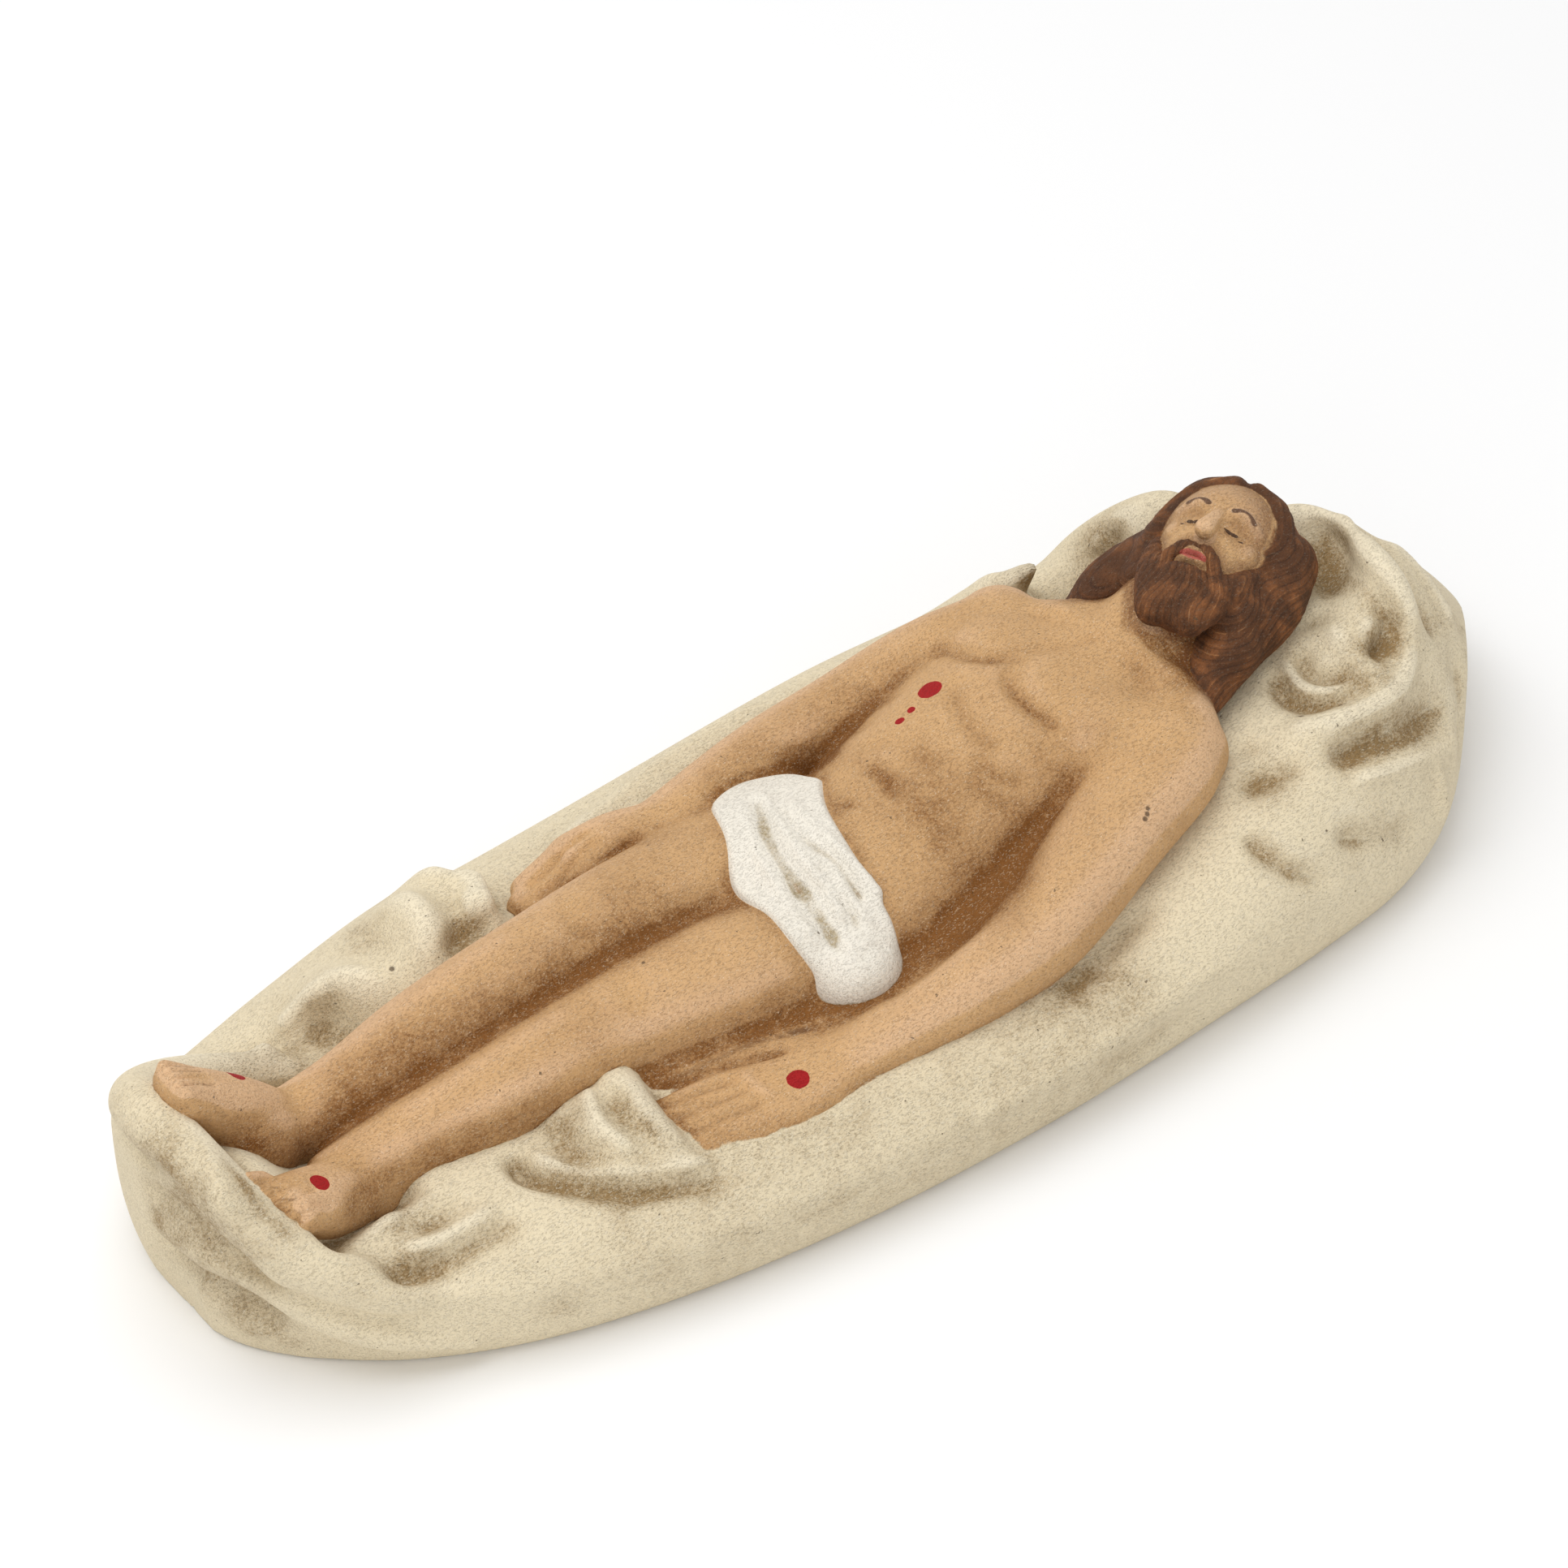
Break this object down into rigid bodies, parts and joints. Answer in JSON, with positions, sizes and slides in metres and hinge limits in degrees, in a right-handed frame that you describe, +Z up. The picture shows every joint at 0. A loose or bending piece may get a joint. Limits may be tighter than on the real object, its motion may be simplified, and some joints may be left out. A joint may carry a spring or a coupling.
{
  "type": "painted devotional figure of a dead man on a shroud",
  "caption": "Small painted casting of a dead man lying on his back on a gathered shroud, head raised on its folds; lies flat on a shelf or in a niche.",
  "frame": {"origin": "centre of the bounding box at the flat underside", "axes": "+X from the feet to the head, +Y to the figure's right side, +Z up"},
  "size_m": [0.2, 0.0779, 0.0438],
  "materials": {
    "painted_plaster": "matte"
  },
  "bodies": {
    "root": {"entombed_figure_on_shroud": "painted_plaster"}
  },
  "joints": []
}
